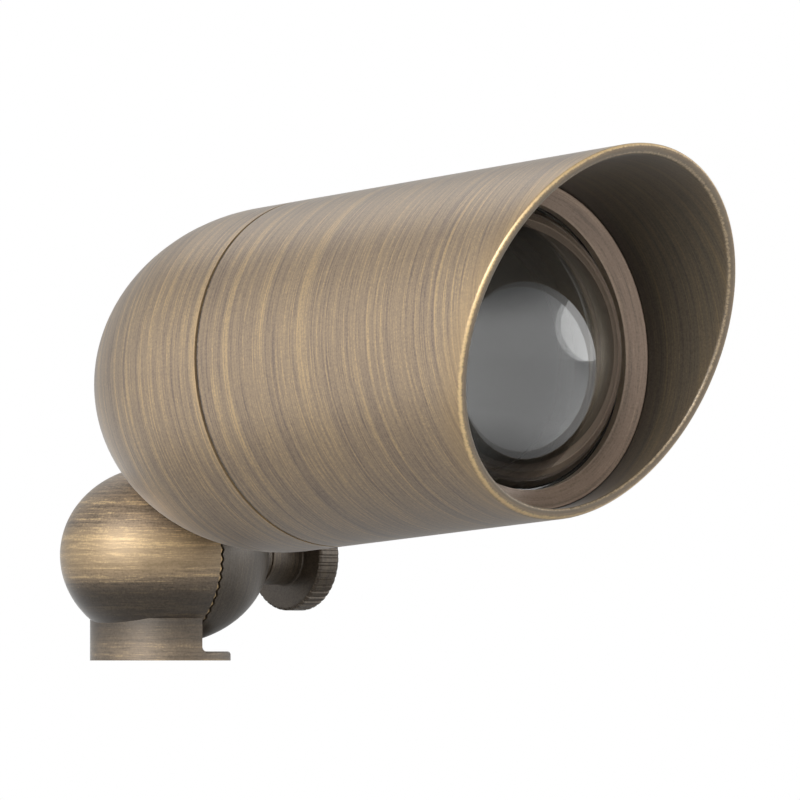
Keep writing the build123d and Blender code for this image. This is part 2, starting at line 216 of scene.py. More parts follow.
class Bench:
    """Modelling steps on one new piece."""

    def __init__(self, name: str) -> None:
        """Starts a piece of that name."""
        self.name = name
        self.piece: Optional[bpy.types.Object] = None

    @staticmethod
    def clear() -> None:
        """Leaves edit mode and deselects everything."""
        if bpy.context.object and bpy.context.object.mode != "OBJECT":
            bpy.ops.object.mode_set(mode="OBJECT")
        bpy.ops.object.select_all(action="DESELECT")

    def hold(self) -> None:
        """Selects the piece alone."""
        self.clear()
        self.piece.select_set(True)
        bpy.context.view_layer.objects.active = self.piece

    def edit(self) -> None:
        """Opens the piece in edit mode."""
        self.hold()
        bpy.ops.object.mode_set(mode="EDIT")

    def pick(self, test: Callable[[Vector], bool]) -> None:
        """Selects the vertices that pass a test, and what lies between them.

        Args:
            test: whether a vertex at this place is wanted.
        """
        mesh = bmesh.from_edit_mesh(self.piece.data)
        bpy.ops.mesh.select_mode(type="VERT")
        for vertex in mesh.verts:
            vertex.select_set(bool(test(vertex.co)))
        mesh.select_flush(True)
        bmesh.update_edit_mesh(self.piece.data)

    def pick_edges(self, test: Callable[[Vector, Vector], bool]) -> None:
        """Selects the edges that pass a test.

        Args:
            test: whether an edge with its ends at these two places is wanted.
        """
        mesh = bmesh.from_edit_mesh(self.piece.data)
        bpy.ops.mesh.select_mode(type="EDGE")
        for face in mesh.faces:
            face.select_set(False)
        for edge in mesh.edges:
            edge.select_set(bool(test(edge.verts[0].co, edge.verts[1].co)))
        bmesh.update_edit_mesh(self.piece.data)

    def turn(self, outline: Sequence[Corner], segments: int, closed: bool = True) -> "Bench":
        """Turns an outline about local Z, ring by ring.

        Args:
            outline: the corners in order.
            segments: the number of sides of a ring.
            closed: whether the outline is a loop. An open one starts and ends at a pole.

        Returns:
            This bench, with the turned piece.
        """
        points = rounded(outline, closed)
        radius, reach = points[0]
        self.clear()
        bpy.ops.mesh.primitive_circle_add(vertices=segments, radius=radius, location=(0, 0, reach))
        self.piece = bpy.context.object
        self.piece.name = self.piece.data.name = self.name
        bpy.ops.object.transform_apply(location=True, rotation=True, scale=True)
        self.edit()
        bpy.ops.mesh.select_all(action="SELECT")
        for next_radius, next_reach in points[1:]:
            bpy.ops.mesh.extrude_edges_move(TRANSFORM_OT_translate={"value": (0, 0, next_reach - reach)})
            grow = next_radius / radius
            bpy.ops.transform.resize(value=(grow, grow, 1), center_override=(0, 0, next_reach))
            radius, reach = next_radius, next_reach
        if closed:
            bpy.ops.mesh.select_all(action="DESELECT")
            bpy.ops.mesh.select_mode(type="EDGE")
            bpy.ops.mesh.select_non_manifold()
            bpy.ops.mesh.bridge_edge_loops()
        else:
            for pole, level in (points[0], points[-1]):
                self.pick(lambda at: abs(at.z - level) < TOUCH and at.xy.length < pole * POLE_ROOM)
                bpy.ops.mesh.merge(type="CENTER")
        self.face_out()
        bpy.ops.object.mode_set(mode="OBJECT")
        return self

    @staticmethod
    def face_out() -> None:
        """Turns every face of the piece in edit mode outwards."""
        bpy.ops.mesh.select_all(action="SELECT")
        bpy.ops.mesh.normals_make_consistent(inside=False)

    def place(self, station: Station) -> None:
        """Moves the finished piece onto a turning axis, with its place in its mesh.

        Args:
            station: the axis.
        """
        self.hold()
        self.piece.matrix_world = station.matrix
        bpy.ops.object.transform_apply(location=True, rotation=True, scale=True)

    def finish(self, body: str, material: Material, node: str, sharp: float = 32.0) -> None:
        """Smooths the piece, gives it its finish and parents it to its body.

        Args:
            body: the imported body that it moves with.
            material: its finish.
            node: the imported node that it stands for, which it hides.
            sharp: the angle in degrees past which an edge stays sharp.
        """
        self.hold()
        bpy.ops.object.shade_smooth_by_angle(angle=math.radians(sharp))
        modifier = self.piece.modifiers.new("weighted_normal", "WEIGHTED_NORMAL")
        modifier.keep_sharp = True
        modifier.weight = FACE_WEIGHT
        bpy.ops.object.modifier_apply(modifier=modifier.name)
        self.piece.data.materials.clear()
        self.piece.data.materials.append(material)
        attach(self.piece, body)
        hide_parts(node)
        LOG.info("%s rides on %s, %d faces", self.name, body, len(self.piece.data.polygons))


# The numbers of a Mix node's sockets for colours
MIX_FIRST, MIX_SECOND, MIX_RESULT = 6, 7, 2


class Canvas:
    """Adds and links the nodes of one shader tree."""

    def __init__(self, tree: bpy.types.NodeTree) -> None:
        """Works on that tree."""
        self.tree = tree

    def feed(self, node: bpy.types.Node, inputs: dict) -> None:
        """Links or sets the inputs of a node.

        Args:
            node: the node.
            inputs: values or sockets for its inputs, by name or number.
        """
        for key, value in inputs.items():
            if isinstance(value, Socket):
                self.tree.links.new(value, node.inputs[key])
            else:
                node.inputs[key].default_value = value

    def add(self, kind: str, inputs: Optional[dict] = None, **settings) -> bpy.types.Node:
        """Adds a node.

        Args:
            kind: the node's type.
            inputs: values or sockets for its inputs, by name or number.
            settings: the node's own options.

        Returns:
            The new node.
        """
        node = self.tree.nodes.new(kind)
        for name, value in settings.items():
            setattr(node, name, value)
        self.feed(node, inputs or {})
        return node

    def maths(self, operation: str, *values: Feed) -> Socket:
        """The result of a sum of one, two or three values."""
        return self.add("ShaderNodeMath", dict(enumerate(values)), operation=operation).outputs[0]

    def span(self, value: Feed, low: Feed, high: Feed, to_low: Feed = 0.0, to_high: Feed = 1.0) -> Socket:
        """A value eased from one range to another."""
        inputs = {0: value, 1: low, 2: high, 3: to_low, 4: to_high}
        return self.add("ShaderNodeMapRange", inputs, interpolation_type="SMOOTHSTEP").outputs[0]

    def mix(self, share: Feed, first: Feed, second: Feed) -> Socket:
        """Two colours mixed by a share."""
        inputs = {0: share, MIX_FIRST: first, MIX_SECOND: second}
        return self.add("ShaderNodeMix", inputs, data_type="RGBA").outputs[MIX_RESULT]

    def noise(self, point: Feed, scale: float, detail: float, rough: float) -> Socket:
        """Smooth noise from 0 to 1."""
        inputs = {"Vector": point, "Scale": scale, "Detail": detail, "Roughness": rough}
        return self.add("ShaderNodeTexNoise", inputs).outputs[0]

    def stretched(self, point: Feed, across: Feed, along: Feed) -> Socket:
        """A point scaled by one factor in X and Y and by another in Z."""
        factors = self.add("ShaderNodeCombineXYZ", {0: across, 1: across, 2: along}).outputs[0]
        return self.add("ShaderNodeVectorMath", {0: point, 1: factors}, operation="MULTIPLY").outputs[0]

    def length(self, first: Feed, second: Feed) -> Socket:
        """The length of the hypotenuse over two sides."""
        sides = self.add("ShaderNodeCombineXYZ", {0: first, 1: second}).outputs[0]
        return self.add("ShaderNodeVectorMath", {0: sides}, operation="LENGTH").outputs["Value"]

    def towards(self, vector: Feed, way: Vector) -> Socket:
        """How far a vector reaches along a direction."""
        return self.add("ShaderNodeVectorMath", {0: vector, 1: way}, operation="DOT_PRODUCT").outputs["Value"]

    def bump(self, height: Feed, relief: float) -> Socket:
        """A normal raised by a height, whose full relief is in millimetres."""
        inputs = {"Strength": 1.0, "Distance": relief * MM, "Height": height}
        return self.add("ShaderNodeBump", inputs).outputs[0]

    def local(self, station: Station) -> Socket:
        """The surface's point in millimetres about a turning axis.

        Args:
            station: the axis.

        Returns:
            The point.
        """
        inverse = station.matrix.inverted()
        inputs = {
            "Vector": self.add("ShaderNodeTexCoord").outputs["Object"],
            "Location": inverse.to_translation() / MM,
            "Rotation": inverse.to_euler(),
            "Scale": (1 / MM, 1 / MM, 1 / MM),
        }
        return self.add("ShaderNodeMapping", inputs).outputs[0]


# Scale to the millimetre, detail and roughness of each noise
SPECKLE = (2.4, 3.0, 0.7)
GRAIN = (2.0, 4.0, 0.7)
DUST = (0.25, 4.0, 0.6)

# The stretch of a noise's values that the finishes use
NOISE_SPAN = (0.3, 0.7)


class Surface:
    """Where a surface point lies about a turning axis, in millimetres, and the noise there."""

    def __init__(self, canvas: Canvas, station: Station) -> None:
        """Adds the nodes that work it out.

        Args:
            canvas: the material's canvas.
            station: the turning axis.
        """
        self.point = canvas.local(station)
        self.across, self.up, self.reach = canvas.add("ShaderNodeSeparateXYZ", {0: self.point}).outputs
        self.radius = canvas.length(self.across, self.up)
        self.speckle = canvas.noise(self.point, *SPECKLE)
        self.grain = canvas.noise(self.point, *GRAIN)


def group(name: str, inputs: dict[str, str], outputs: dict[str, str]) -> tuple[Canvas, dict, bpy.types.Node]:
    """Starts a shader node group.

    Args:
        name: the group's name.
        inputs, outputs: the kinds of its sockets by their names.

    Returns:
        The canvas of the group, the sockets that bring its inputs in, and its output node.
    """
    tree = bpy.data.node_groups.new(name, "ShaderNodeTree")
    for direction, sockets in (("INPUT", inputs), ("OUTPUT", outputs)):
        for socket, kind in sockets.items():
            tree.interface.new_socket(socket, in_out=direction, socket_type="NodeSocket" + kind)
    canvas = Canvas(tree)
    entry = canvas.add("NodeGroupInput")
    return canvas, {socket: entry.outputs[socket] for socket in inputs}, canvas.add("NodeGroupOutput")


@dataclass(frozen=True)
class Stroke:
    """One kind of brush mark, in pitches and lengths of the brush. A lean gives two crossing sets."""

    wider: float
    longer: float
    lean: float = 0.0


STROKES = {
    "Band": Stroke(wider=9.0, longer=8.0),
    "Line": Stroke(wider=1.8, longer=1.8),
    "Fine": Stroke(wider=0.8, longer=0.22, lean=math.radians(1.5)),
}
STROKE_NOISE = (1.0, 2.0, 0.6)

# How much each mark counts in the tone of the metal, and where the tone turns from dark to middle to bright
TONE_SHARES = {"Band": 0.24, "Line": 0.26, "Fine": 0.30, "Grain": 0.20}
DARK_TO_MIDDLE = (0.43, 0.52)
MIDDLE_TO_BRIGHT = (0.52, 0.61)

# An edge band, whether worn metal, painted light or painted shade, is full up to this share of its width, and
# its outline wanders by this many millimetres
BAND_CORE = 0.4
BAND_RAGGED = 0.15


@functools.cache
def brushed_lines() -> bpy.types.NodeTree:
    """Marks left by a brush while the piece turned: bands, lines and short strokes across local Z.

    Returns:
        The node group.
    """
    canvas, come, out = group(
        "brushed_lines", {"Point": "Vector", "Length": "Float", "Pitch": "Float"},
        {name: "Float" for name in STROKES},
    )
    for name, stroke in STROKES.items():
        along = canvas.maths("DIVIDE", 1.0 / stroke.longer, come["Length"])
        across = canvas.maths("DIVIDE", 1.0 / stroke.wider, come["Pitch"])
        sets: list[Feed] = []
        for angle in (-stroke.lean, stroke.lean) if stroke.lean else (0.0,):
            inputs = {"Vector": come["Point"], "Angle": angle}
            leaning = canvas.add("ShaderNodeVectorRotate", inputs, rotation_type="X_AXIS").outputs[0]
            sets.append(canvas.noise(canvas.stretched(leaning, along, across), *STROKE_NOISE))
        lines = canvas.maths("MAXIMUM", *sets) if stroke.lean else sets[0]
        canvas.feed(out, {name: lines})
    return canvas.tree


@functools.cache
def tarnish_tone() -> bpy.types.NodeTree:
    """The colour of tarnished metal from its lines: dark in the valleys, bright on the ridges.

    Returns:
        The node group.
    """
    tones = {"Dark": "Color", "Middle": "Color", "Bright": "Color"}
    marks = {name: "Float" for name in TONE_SHARES}
    canvas, come, out = group("tarnish_tone", {**marks, **tones}, {"Color": "Color"})
    tone: Feed = 0.0
    for name, share in TONE_SHARES.items():
        tone = canvas.maths("MULTIPLY_ADD", come[name], share, tone)
    low = canvas.mix(canvas.span(tone, *DARK_TO_MIDDLE), come["Dark"], come["Middle"])
    high = canvas.mix(canvas.span(tone, *MIDDLE_TO_BRIGHT), low, come["Bright"])
    canvas.feed(out, {"Color": high})
    return canvas.tree


@functools.cache
def edge_band() -> bpy.types.NodeTree:
    """A mask that is 1 at an edge and fades with the distance from it, ragged by grain.

    Returns:
        The node group.
    """
    canvas, come, out = group(
        "edge_band", {"Distance": "Float", "Width": "Float", "Grain": "Float"}, {"Mask": "Float"}
    )
    wander = canvas.span(come["Grain"], *NOISE_SPAN, *about(0.0, BAND_RAGGED))
    ragged = canvas.maths("ADD", come["Width"], wander)
    mask = canvas.span(come["Distance"], canvas.maths("MULTIPLY", ragged, BAND_CORE), ragged, 1.0, 0.0)
    canvas.feed(out, {"Mask": mask})
    return canvas.tree


def edge_band_mask(canvas: Canvas, distance: Feed, width: float, grain: Feed) -> Socket:
    """The mask of an edge band of a width, at a distance from it: worn metal, painted light or painted shade.
    """
    inputs = {"Distance": distance, "Width": width, "Grain": grain}
    return canvas.add("ShaderNodeGroup", inputs, node_tree=edge_band()).outputs[0]


@dataclass(frozen=True)
class Edge:
    """A ring-shaped band of tone about an edge across the turning axis, in millimetres, leaning by slope in
    local Y: worn metal, painted light or painted shade.
    """

    radius: float
    reach: float
    width: float
    tone: Colour
    slope: float = 0.0
    strength: float = 1.0

    def share(self, canvas: Canvas, surface: Surface) -> Socket:
        """How much of the edge's tone shows.

        Args:
            canvas: the material's canvas.
            surface: the place of the surface point.

        Returns:
            The share of the tone.
        """
        plane = canvas.maths("MULTIPLY_ADD", surface.up, self.slope, self.reach)
        lean = 1.0 / math.hypot(1.0, self.slope)
        ahead = canvas.maths("MULTIPLY", canvas.maths("SUBTRACT", surface.reach, plane), lean)
        out = canvas.maths("SUBTRACT", surface.radius, self.radius)
        mask = edge_band_mask(canvas, canvas.length(ahead, out), self.width, surface.grain)
        return canvas.maths("MULTIPLY", mask, self.strength)


@dataclass(frozen=True)
class Split:
    """A worn edge in a plane across local X, in millimetres. It fades in from its foot to its full height."""

    place: float
    width: float = 0.6
    tone: Colour = colour(224, 190, 130)
    foot: float = 7.0
    full: float = 8.5
    strength: float = 0.8

    def share(self, canvas: Canvas, surface: Surface) -> Socket:
        """How much of the edge's tone shows.

        Args:
            canvas: the material's canvas.
            surface: the place of the surface point.

        Returns:
            The share of the tone.
        """
        gap = canvas.maths("ABSOLUTE", canvas.maths("SUBTRACT", surface.across, self.place))
        mask = edge_band_mask(canvas, gap, self.width, surface.grain)
        above = canvas.span(surface.reach, self.foot, self.full, 0.0, self.strength)
        return canvas.maths("MULTIPLY", mask, above)


@dataclass(frozen=True)
class Hollow:
    """Painted shade on the inside of a tube, in millimetres: what is nearer to the axis than radius and ahead
    of back.
    """

    radius: float
    back: float
    depth: float = 16.0
    # painted shade: the inside's tone at the mouth, and the deeper one towards its back
    tone: Colour = colour(46, 50, 42)
    deep_shade_tone: Colour = colour(10, 10, 9)
    paint: Colour = colour(8, 8, 8)
    # how much of the painted shade covers the brushed tone, at the mouth and at the back
    front_cover: float = 0.64
    deep_cover: float = 0.86
    metallic: float = 0.3
    blur: float = 0.1

    def mask(self, canvas: Canvas, value: Feed, limit: float) -> Socket:
        """1 where a value is under a limit, and 0 past it."""
        return canvas.span(value, *about(limit, self.blur), 1.0, 0.0)

    def paint_inside_shade(self, canvas: Canvas, surface: Surface, tone: Feed, metallic: float) -> tuple[Feed, Feed]:
        """Paints shade on the inside, deeper towards its back, and paints it black behind that.

        Args:
            canvas: the material's canvas.
            surface: the place of the surface point.
            tone: the tone of the outside.
            metallic: the outside's share of metal.

        Returns:
            The tone and the share of metal of the whole surface.
        """
        inside = self.mask(canvas, surface.radius, self.radius)
        front = canvas.span(surface.reach, self.back, self.back + self.depth)
        # painted shade, deepening from the mouth towards the back
        dark = canvas.mix(front, self.deep_shade_tone, self.tone)
        cover = canvas.span(front, 0.0, 1.0, self.deep_cover, self.front_cover)
        tone = canvas.mix(canvas.maths("MULTIPLY", inside, cover), tone, dark)
        behind = self.mask(canvas, surface.reach, self.back)
        tone = canvas.mix(canvas.maths("MULTIPLY", inside, behind), tone, self.paint)
        return tone, canvas.span(inside, 0.0, 1.0, metallic, self.metallic)


def blank(name: str) -> tuple[Material, Canvas, bpy.types.Node]:
    """Starts a material.

    Args:
        name: its name.

    Returns:
        The material, the canvas of its nodes, and its shader.
    """
    made = bpy.data.materials.new(name)
    made.use_nodes = True
    return made, Canvas(made.node_tree), made.node_tree.nodes["Principled BSDF"]


@dataclass(frozen=True)
class AntiqueBrass:
    """Brushed brass with dark tarnish under a thin clear film, brighter along its worn edges, with painted
    shade inside a hollow and bands of painted light and shade where given.
    """

    name: str
    dark: Colour = colour(128, 111, 98)
    middle: Colour = colour(163, 142, 117)
    bright: Colour = colour(203, 174, 130)
    length: float = 40.0
    pitch: float = 0.2
    metallic: float = 0.5
    roughness: float = 0.45
    roughness_spread: float = 0.1
    coat: float = 0.75
    coat_thinner: float = 0.3
    coat_thicker: float = 0.2
    coat_roughness: float = 0.38
    haze: float = 0.3
    haze_roughness: float = 0.4
    relief: float = 0.02
    line_relief: float = 0.7
    # painted shade on the inside of a tube, if any
    hollow: Optional[Hollow] = None

    def material(self, station: Station, wear_and_painted_light: Sequence[Union[Edge, Split]] = ()) -> Material:
        """Builds the finish about a turning axis.

        Args:
            station: the axis that the brush lines go round.
            wear_and_painted_light: the worn edges and the bands of painted light and shade about that axis, the
                last one on top.

        Returns:
            The material.
        """
        made, canvas, shader = blank(self.name)
        surface = Surface(canvas, station)
        speckle = surface.speckle
        inputs = {"Point": surface.point, "Length": self.length, "Pitch": self.pitch}
        lines = canvas.add("ShaderNodeGroup", inputs, node_tree=brushed_lines()).outputs
        inputs = {name: lines[name] for name in STROKES}
        inputs.update({"Grain": speckle, "Dark": self.dark, "Middle": self.middle, "Bright": self.bright})
        tone = canvas.add("ShaderNodeGroup", inputs, node_tree=tarnish_tone()).outputs[0]
        metal: Feed = self.metallic
        # painted shade on the inside of the tube
        if self.hollow:
            tone, metal = self.hollow.paint_inside_shade(canvas, surface, tone, self.metallic)
        # worn edges, and bands of painted light and shade, laid over the tone
        for mark in wear_and_painted_light:
            tone = canvas.mix(mark.share(canvas, surface), tone, mark.tone)
        thin, thick = self.coat - self.coat_thinner, self.coat + self.coat_thicker
        dents = canvas.maths("MULTIPLY", speckle, 1 - self.line_relief)
        height = canvas.maths("MULTIPLY_ADD", lines["Fine"], self.line_relief, dents)
        canvas.feed(shader, {
            "Base Color": tone,
            "Metallic": metal,
            "Roughness": canvas.span(speckle, *NOISE_SPAN, *about(self.roughness, self.roughness_spread)),
            "Coat Weight": canvas.span(speckle, *NOISE_SPAN, thin, thick),
            "Coat Roughness": self.coat_roughness,
            "Sheen Weight": self.haze,
            "Sheen Roughness": self.haze_roughness,
            "Normal": canvas.bump(height, self.relief),
        })
        return made


@dataclass(frozen=True)
class PlainFinish:
    """A finish of one colour family: fine grain in its tone, gloss and relief."""

    name: str
    tone: Colour
    shade: Colour
    metallic: float = 0.0
    roughness: float = 0.5
    roughness_spread: float = 0.07
    grain: float = 2.0
    grain_detail: float = 4.0
    grain_roughness: float = 0.6
    cloud: float = 0.12
    cloud_detail: float = 2.0
    cloud_roughness: float = 0.5
    cloud_share: float = 0.5
    relief: float = 0.02
    tone_span: tuple[float, float] = (0.35, 0.65)

    def material(self) -> Material:
        """Builds the finish on the piece's own coordinates.

        Returns:
            The material.
        """
        made, canvas, shader = blank(self.name)
        point = canvas.local(BASE)
        fine = canvas.noise(point, self.grain, self.grain_detail, self.grain_roughness)
        cloud = canvas.noise(point, self.grain * self.cloud, self.cloud_detail, self.cloud_roughness)
        clouds = canvas.maths("MULTIPLY", cloud, self.cloud_share)
        both = canvas.maths("MULTIPLY_ADD", fine, 1 - self.cloud_share, clouds)
        canvas.feed(shader, {
            "Base Color": canvas.mix(canvas.span(both, *self.tone_span), self.shade, self.tone),
            "Metallic": self.metallic,
            "Roughness": canvas.span(fine, *NOISE_SPAN, *about(self.roughness, self.roughness_spread)),
            "Normal": canvas.bump(fine, self.relief),
        })
        return made


@dataclass(frozen=True)
class ClearGlass:
    """Clear lens glass with a trace of dust in patches."""

    name: str
    tone: Colour = colour(248, 250, 249)
    index: float = 1.85
    roughness: float = 0.02
    dusty: float = 0.05
    dust_span: tuple[float, float] = (0.45, 0.8)

    def material(self) -> Material:
        """Builds the glass.

        Returns:
            The material.
        """
        made, canvas, shader = blank(self.name)
        dust = canvas.noise(canvas.local(BARREL), *DUST)
        canvas.feed(shader, {
            "Base Color": self.tone,
            "Roughness": canvas.span(dust, *self.dust_span, self.roughness, self.roughness + self.dusty),
            "IOR": self.index,
            "Transmission Weight": 1.0,
        })
        return made


def cover(material: Material, *nodes: str) -> None:
    """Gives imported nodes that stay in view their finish.

    Args:
        material: the finish.
        nodes: the names of the nodes.
    """
    for node in nodes:
        mesh = frame["nodes"][node].data
        mesh.materials.clear()
        mesh.materials.append(material)
        LOG.info("%s keeps its packed shape", node)


@dataclass
class Shroud:
    """The front of the barrel with its slanted mouth."""

    long_side: float = 86.3 * MM
    short_side: float = 56.9 * MM
    overshoot: float = 1.1
    wall: float = 1.9 * MM
    rim_rounding: float = 0.8 * MM
    rim_steps: int = 5
    edge_rounding: float = 0.25 * MM
    shoulder: float = 2.8 * MM
    seat_room: float = 0.2 * MM
    halo_offset: float = 6.0 * MM
    segments: int = 224

    def __post_init__(self) -> None:
        """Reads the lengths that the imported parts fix."""
        packed = BARREL.measure("front_shroud")
        self.radius, self.back = packed.outer, packed.back
        self.mouth = self.radius - self.wall
        self.ring_back = BARREL.measure("lens_ring").back
        self.middle = self.back + (self.long_side + self.short_side) / 2
        self.slope = (self.long_side - self.short_side) / (2 * self.radius)

    def outline(self) -> list[Corner]:
        """The wall's outline, past the mouth, with the seats of the lens and the seal.

        Returns:
            The corners in order.
        """
        over = self.back + self.overshoot * self.long_side
        lens_seat = BARREL.measure("glass_lens").outer + self.seat_room
        gasket = BARREL.measure("lens_gasket")
        shoulder = gasket.back - self.shoulder
        bore = BARREL.measure("rear_housing", past=self.back).outer + self.seat_room / 2
        seal = BARREL.measure("housing_o_ring")
        return [
            Corner(self.radius, self.back, self.edge_rounding), Corner(self.radius, over),
            Corner(self.mouth, over), Corner(self.mouth, self.ring_back),
            Corner(lens_seat, self.ring_back), Corner(lens_seat, gasket.back),
            Corner(gasket.inner, gasket.back), Corner(gasket.inner, shoulder),
            Corner(bore, shoulder), Corner(bore, seal.front),
            Corner(seal.outer, seal.front), Corner(seal.outer, seal.back),
            Corner(bore, seal.back), Corner(bore, self.back, self.edge_rounding),
        ]

    def beyond(self, at: Vector) -> float:
        """How far a point lies past the slanted plane of the mouth, along the axis."""
        return at.z - self.middle - self.slope * at.y

    def build(self) -> None:
        """Turns the wall, cuts the mouth on the slant and rounds its rim."""
        bench = Bench("shroud_shell").turn(self.outline(), self.segments)
        bench.edit()
        bpy.ops.mesh.select_all(action="SELECT")
        bpy.ops.mesh.bisect(
            plane_co=(0, 0, self.middle), plane_no=(0, -self.slope, 1), clear_outer=True, use_fill=False
        )
        bench.pick(lambda at: abs(self.beyond(at)) < TOUCH)
        bpy.ops.mesh.select_mode(type="EDGE")
        bpy.ops.mesh.bridge_edge_loops()
        bench.pick_edges(
            lambda a, b: max(abs(self.beyond(a)), abs(self.beyond(b))) < TOUCH
            and abs(a.xy.length - b.xy.length) < TOUCH
        )
        bpy.ops.mesh.bevel(offset=self.rim_rounding, segments=self.rim_steps, affect="EDGES")
        bench.face_out()
        bench.clear()
        bench.place(BARREL)
        bench.finish("shroud", self.brass(), "front_shroud")

    def brass(self) -> Material:
        """The finish: gold towards the rim and at its two corners, dark at the seam, and painted shade inside
        that deepens towards the lens ring.

        Returns:
            The material.
        """
        outer, inner, reach = self.radius / MM, self.mouth / MM, self.middle / MM
        middle, halo = (outer + inner) / 2, outer + self.halo_offset / MM
        slope = self.slope
        # the inside carries painted shade, deepest next to the lens ring, with black paint behind it
        return AntiqueBrass("shroud_brass", hollow=Hollow(middle, self.ring_back / MM)).material(BARREL, [
            Edge(halo, reach, width=9.0, tone=colour(196, 164, 116), slope=slope, strength=0.7),
            Edge(middle, reach, width=1.1, tone=colour(118, 103, 82), slope=slope, strength=0.7),
            Edge(outer, reach, width=0.65, tone=colour(236, 204, 150), slope=slope),
            Edge(inner, reach, width=0.5, tone=colour(206, 182, 146), slope=slope, strength=0.8),
            Edge(outer, self.back / MM, width=0.45, tone=colour(30, 26, 22), strength=0.9),
        ])


@dataclass(frozen=True)
class Housing:
    """The bullet-shaped back of the barrel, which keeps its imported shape. Its seam is in millimetres."""

    brass: AntiqueBrass = AntiqueBrass("housing_brass")
    seam_inset: float = 0.5
    seam_width: float = 0.5
    seam_tone: Colour = colour(206, 174, 126)
    seam_strength: float = 0.5

    def dress(self, shroud: Shroud) -> None:
        """Gives the housing its finish, with a worn edge at the seam.

        Args:
            shroud: the shroud on the other side of the seam.
        """
        reach = shroud.back / MM - self.seam_inset
        seam = Edge(shroud.radius / MM, reach, self.seam_width, self.seam_tone, strength=self.seam_strength)
        cover(self.brass.material(BARREL, [seam]), "rear_housing")


@dataclass(frozen=True)
class LensSet:
    """The domed glass and the tapered ring that holds it."""

    ring_edge: float = 1.5 * MM
    ring_rounding: float = 0.2 * MM
    ring_gap: float = 0.3 * MM
    flange: float = 3.0 * MM
    glass: float = 3.5 * MM
    glass_rounding: float = 0.3 * MM
    segments: int = 192
    dome_steps: int = 48
    bronze: AntiqueBrass = AntiqueBrass(
        "ring_bronze", dark=colour(128, 110, 94), middle=colour(154, 132, 114), bright=colour(178, 154, 132),
        relief=0.01, haze=0.05,
    )
    clear: ClearGlass = ClearGlass("lens_glass")

    def build(self) -> None:
        """Builds the ring and the glass."""
        self.build_ring()
        self.build_glass()

    def build_ring(self) -> None:
        """Turns the tapered ring, with a painted highlight along its polished edge next to the glass."""
        ring, rounding = BARREL.measure("lens_ring"), self.ring_rounding
        edge = ring.back + self.ring_edge
        bench = Bench("lens_bezel").turn([
            Corner(ring.inner, ring.back, rounding), Corner(ring.outer, ring.back, rounding),
            Corner(ring.outer, ring.front, rounding), Corner(ring.inner, edge, rounding),
        ], self.segments)
        bench.place(BARREL)
        middle = (ring.back + self.ring_edge / 2) / MM
        # painted highlight: the polished edge next to the glass made lighter, as the light it catches
        painted_lip_highlight = Edge(ring.inner / MM, middle, width=1.0, tone=colour(206, 184, 158), strength=0.85)
        bench.finish("shroud", self.bronze.material(BARREL, [painted_lip_highlight]), "lens_ring")

    def build_glass(self) -> None:
        """Turns the dome of even thickness with the flange round it."""
        packed = BARREL.measure("glass_lens")
        edge = BARREL.measure("lens_ring").inner - self.ring_gap
        front = packed.back + self.flange
        crown = packed.front - front
        dome = (edge ** 2 + crown ** 2) / (2 * crown)
        centre = packed.front - dome
        inner = dome - self.glass
        rim = math.acos((packed.back - centre) / inner)
        outline = arc(centre, dome, 0.0, math.asin(edge / dome), self.dome_steps)
        outline += [Corner(packed.outer, reach, self.glass_rounding) for reach in (front, packed.back)]
        outline += arc(centre, inner, rim, 0.0, self.dome_steps)
        bench = Bench("lens_dome").turn(outline, self.segments, closed=False)
        bench.place(BARREL)
        bench.finish("shroud", self.clear.material(), "glass_lens")


@dataclass(frozen=True)
class Knuckle:
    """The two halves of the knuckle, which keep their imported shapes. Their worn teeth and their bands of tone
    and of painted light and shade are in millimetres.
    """

    brass: AntiqueBrass = AntiqueBrass(
        "lower_brass", dark=colour(104, 90, 73), middle=colour(148, 128, 104), bright=colour(212, 184, 140),
        length=13.0, pitch=0.3, roughness=0.55, coat=0.7, coat_roughness=0.5, haze=0.5,
    )
    bronze: AntiqueBrass = AntiqueBrass(
        "upper_bronze", dark=colour(68, 60, 50), middle=colour(87, 77, 64), bright=colour(110, 97, 79),
        haze=0.08,
    )
    # a darker band on the neck, below the lobe
    darker_neck: Edge = Edge(13.1, 3.0, width=6.5, tone=colour(108, 97, 83), strength=0.5)
    # painted shade: a dark band in the crease between the lobe and the neck
    painted_crease_shade: Edge = Edge(17.5, 8.6, width=8.5, tone=colour(54, 47, 40), strength=0.88)
    # painted light: a bright band on the lobe's belly, where the light falls
    painted_belly_light: Edge = Edge(18.7, 20.0, width=6.0, tone=colour(198, 168, 120), strength=0.35)

    def dress(self) -> None:
        """Gives both halves and their screws their finishes, with worn teeth on the lower half, a darker band
        on its neck, painted shade in its crease and a painted light band on its belly.
        """
        teeth = Split(HINGE.measure("upper_knuckle").back / MM)
        # the neck's darker band, painted shade in the crease, painted light on the belly, and the worn teeth
        wear_and_painted_light = [self.darker_neck, self.painted_crease_shade, self.painted_belly_light, teeth]
        cover(self.brass.material(BASE, wear_and_painted_light), "lower_knuckle")
        cover(self.bronze.material(HINGE), "upper_knuckle", "knuckle_screws")


